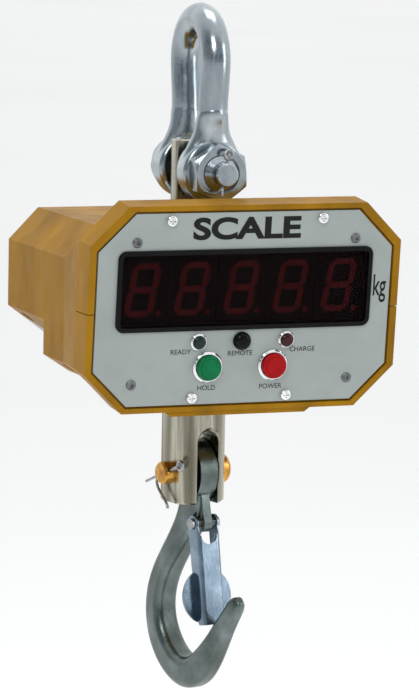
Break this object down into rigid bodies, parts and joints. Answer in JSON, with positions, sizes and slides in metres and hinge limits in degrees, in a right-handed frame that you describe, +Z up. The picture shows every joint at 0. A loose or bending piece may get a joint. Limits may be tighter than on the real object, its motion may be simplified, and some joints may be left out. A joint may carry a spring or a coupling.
{
  "type": "crane scale",
  "caption": "Hanging crane scale: shackle, load cell in a yellow cast casing with digital display and buttons, swivelling clevis and eye hook with safety latch.",
  "frame": {"origin": "inner crown of the shackle bow, where the crane hook carries the scale", "axes": "+Z up along the load line, X to the right of the display, +Y to the back"},
  "size_m": [0.2286, 0.2078, 0.4897],
  "materials": {
    "zinc_steel": "bright blue-white zinc plate",
    "casing_yellow": "gloss orange-yellow powder coat",
    "machined_steel": "satin machined alloy steel",
    "hook_steel": "forged steel, dull grey-green plate",
    "latch_zinc": "bright zinc-plated pressed sheet",
    "pin_yellow": "yellow passivated steel",
    "panel_grey": "anodised silver-grey sheet",
    "black_frame": "gloss black",
    "dark_filter": "smoked red acrylic",
    "module_black": "matt",
    "segment_red": "unlit diffuser",
    "board_green": "solder mask",
    "chrome": "polished",
    "green_lens": "dark translucent",
    "red_lens": "dark translucent",
    "button_green": "moulded",
    "button_red": "moulded",
    "screw_steel": "zinc plated",
    "tray_grey": "satin grey",
    "battery_blue": "shrink sleeve",
    "black_plastic": "moulded"
  },
  "bodies": {
    "shackle": {"shackle_bow": "zinc_steel", "shackle_bolt": "zinc_steel", "shackle_nut": "zinc_steel", "shackle_cotter": "screw_steel"},
    "scale": {"load_cell": "machined_steel", "gauge_covers": "screw_steel", "lower_race": "machined_steel", "bearing_balls": "chrome", "upper_casing": "casing_yellow", "lower_casing": "casing_yellow", "casing_seal": "casing_yellow", "casing_screws": "screw_steel", "top_flange": "zinc_steel", "flange_screws": "screw_steel", "face_panel": "panel_grey", "panel_screws": "chrome", "board_screws": "screw_steel", "board_spacers": "screw_steel", "display_bezel": "black_frame", "display_filter": "dark_filter", "digit_modules": "module_black", "digit_segments": "segment_red", "display_board": "board_green", "lamp_rings": "chrome", "green_lamp": "green_lens", "red_lamp": "red_lens", "infrared_eye": "black_frame", "button_rings": "chrome", "button_nuts": "screw_steel", "button_switches": "black_plastic", "main_spacers": "screw_steel", "main_board": "board_green", "board_components": "black_plastic", "signal_cable": "black_plastic", "charge_socket": "black_plastic"},
    "green_button": {"green_button": "button_green"},
    "red_button": {"red_button": "button_red"},
    "battery_tray": {"battery_tray": "tray_grey", "battery": "battery_blue"},
    "clevis": {"clevis": "machined_steel", "swivel_nut": "machined_steel", "upper_race": "machined_steel", "nut_pin": "screw_steel", "clevis_pin": "pin_yellow", "clevis_cotter": "screw_steel"},
    "hook": {"hook": "hook_steel", "latch_pin": "screw_steel"},
    "latch": {"safety_latch": "latch_zinc", "latch_spring": "screw_steel"}
  },
  "joints": [
    {"name": "shackle_swing", "type": "hinge", "parent": "shackle", "child": "scale", "pos_m": [0, 0, -0.0955], "axis": [0, 1, 0], "range_deg": [-90, 90]},
    {"name": "green_press", "type": "slide", "parent": "scale", "child": "green_button", "axis": [0, 0.9952, 0.0978], "range_m": [0, 0.003], "stiffness_N_per_m": 400, "springref_m": -0.0005},
    {"name": "red_press", "type": "slide", "parent": "scale", "child": "red_button", "axis": [0, 0.9952, 0.0978], "range_m": [0, 0.003], "stiffness_N_per_m": 400, "springref_m": -0.0005},
    {"name": "tray_slide", "type": "slide", "parent": "scale", "child": "battery_tray", "axis": [0, 1, 0], "range_m": [0, 0.07]},
    {"name": "hook_swivel", "type": "hinge", "parent": "scale", "child": "clevis", "pos_m": [0, 0, -0.25], "axis": [0, 0, 1], "continuous": true},
    {"name": "hook_swing", "type": "hinge", "parent": "clevis", "child": "hook", "pos_m": [0, 0, -0.311], "axis": [0.9796, 0.2011, 0], "range_deg": [-60, 60]},
    {"name": "latch_hinge", "type": "hinge", "parent": "hook", "child": "latch", "pos_m": [0.00312, -0.01518, -0.3467], "axis": [0.9796, 0.2011, 0], "range_deg": [0, 38], "stiffness_Nm_per_rad": 0.15, "springref_deg": -34.38}
  ]
}
